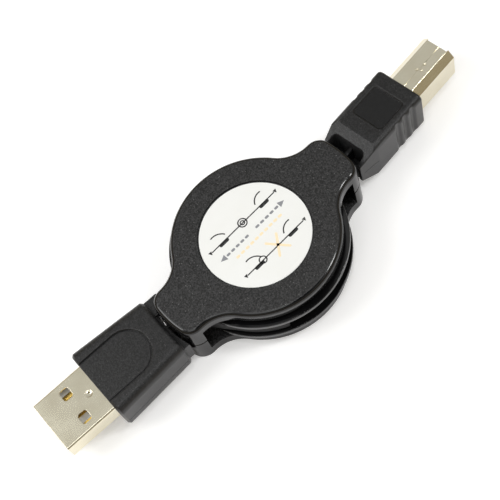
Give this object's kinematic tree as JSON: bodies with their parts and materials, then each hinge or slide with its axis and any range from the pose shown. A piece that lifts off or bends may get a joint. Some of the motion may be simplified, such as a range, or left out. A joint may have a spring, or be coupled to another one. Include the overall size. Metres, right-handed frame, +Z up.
{
  "type": "retractable usb cable",
  "caption": "Retractable reel cable: flat cable on a sprung spool between round black covers with ears, a type A plug at one end and a type B plug at the other.",
  "frame": {"origin": "on the reel's axis at its underside, where it rests on a table", "axes": "+X from the type A plug to the type B plug, +Z up along the reel's axis"},
  "size_m": [0.1105, 0.0364, 0.0132],
  "materials": {
    "cover_abs": "fine grained black moulding",
    "label_film": "printed film, semi gloss",
    "plain_steel": "plain steel",
    "spool_plastic": "smooth black moulding",
    "spring_steel": "blued spring strip",
    "cable_pvc": "flat black cable jacket",
    "plug_pvc": "satin black moulding",
    "nickel_plate": "bright warm nickel plate",
    "white_insulator": "white moulding",
    "gold_contact": "gold flash plating"
  },
  "bodies": {
    "housing": {"top_cover": "cover_abs", "bottom_cover": "cover_abs", "label": "label_film", "cover_screw": "plain_steel"},
    "spool": {"spool": "spool_plastic", "cable_winding": "cable_pvc", "power_spring": "spring_steel"},
    "ratchet": {"ratchet_roller": "plain_steel"},
    "plug_a": {"plug_a_overmould": "plug_pvc", "plug_a_shell": "nickel_plate", "plug_a_insulator": "white_insulator", "plug_a_contact_1": "gold_contact", "plug_a_contact_2": "gold_contact", "plug_a_contact_3": "gold_contact", "plug_a_contact_4": "gold_contact", "cable_lead_a": "cable_pvc"},
    "plug_b": {"plug_b_overmould": "plug_pvc", "plug_b_shell": "nickel_plate", "plug_b_insulator": "white_insulator", "plug_b_contact_1": "gold_contact", "plug_b_contact_2": "gold_contact", "plug_b_contact_3": "gold_contact", "plug_b_contact_4": "gold_contact", "cable_lead_b": "cable_pvc"}
  },
  "joints": [
    {"name": "spool_turn", "type": "hinge", "parent": "housing", "child": "spool", "pos_m": [0, 0, 0], "axis": [0, 0, -1], "range_deg": [0, 1440], "stiffness_Nm_per_rad": 0.0006, "springref_deg": -1260.51, "deforming": ["power_spring"]},
    {"name": "plug_a_pull", "type": "slide", "parent": "housing", "child": "plug_a", "axis": [-1, 0, 0], "range_m": [0, 0.3335], "deforming": ["cable_lead_a"]},
    {"name": "plug_b_pull", "type": "slide", "parent": "housing", "child": "plug_b", "axis": [1, 0, 0], "range_m": [0, 0.3335], "deforming": ["cable_lead_b"]},
    {"name": "roller_shift", "type": "slide", "parent": "housing", "child": "ratchet", "axis": [0, -1, 0], "range_m": [0, 0.0015]}
  ],
  "couplings": [
    {"joint": "plug_a_pull", "follows": "spool_turn", "m_per_rad": 0.01325},
    {"joint": "plug_b_pull", "follows": "spool_turn", "m_per_rad": 0.01325}
  ]
}
